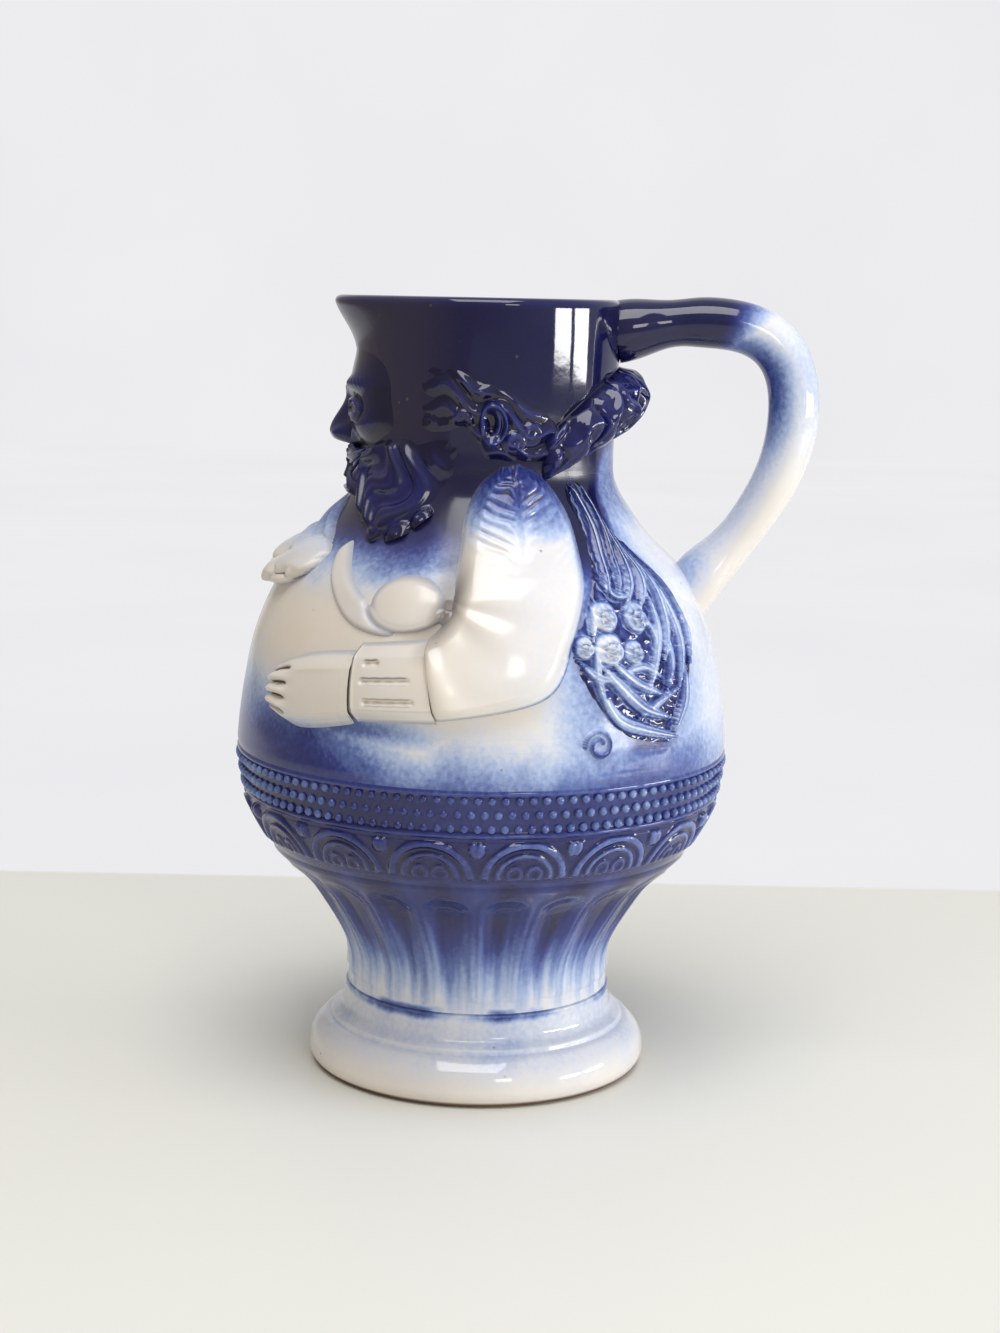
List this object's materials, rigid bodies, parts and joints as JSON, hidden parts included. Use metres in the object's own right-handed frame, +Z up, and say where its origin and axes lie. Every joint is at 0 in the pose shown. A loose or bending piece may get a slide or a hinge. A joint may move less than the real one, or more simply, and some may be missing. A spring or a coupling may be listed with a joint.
{
  "type": "face jug",
  "caption": "Glazed earthenware pouring jug shaped as a bearded figure with folded arms on a fluted pedestal, with a pouring lip and a loop handle.",
  "frame": {"origin": "centre of the foot's resting plane, on the axis of the body", "axes": "+Z up, the face and the pouring lip towards -Y, the handle towards +Y, the figure's left side towards +X"},
  "size_m": [0.1584, 0.1796, 0.2419],
  "materials": {
    "blue_glaze": "glossy cobalt glaze, thinner on the ridges",
    "faded_glaze": "glossy glaze, cobalt sprayed to a soft fade",
    "cream_glaze": "glossy cream white glaze"
  },
  "bodies": {
    "root": {"lower_bowl": "blue_glaze", "arch_frieze": "blue_glaze", "girdle": "blue_glaze", "beads": "blue_glaze", "neck": "blue_glaze", "rim": "blue_glaze", "face": "blue_glaze", "moustache": "blue_glaze", "beard": "blue_glaze", "ear_left": "blue_glaze", "ear_right": "blue_glaze", "side_hair_left": "blue_glaze", "side_hair_right": "blue_glaze", "hair_roll": "blue_glaze", "leaf_spray_left": "blue_glaze", "leaf_spray_right": "blue_glaze", "scroll_left": "blue_glaze", "scroll_right": "blue_glaze", "pedestal": "faded_glaze", "cup": "faded_glaze", "flutes": "faded_glaze", "upper_bowl": "faded_glaze", "shoulder": "faded_glaze", "handle": "faded_glaze", "foot": "cream_glaze", "neckcloth": "cream_glaze", "lapel_left": "cream_glaze", "lapel_right": "cream_glaze", "sleeve_left": "cream_glaze", "sleeve_right": "cream_glaze", "cuff_left": "cream_glaze", "cuff_right": "cream_glaze", "hand_left": "cream_glaze", "hand_right": "cream_glaze"}
  },
  "joints": []
}
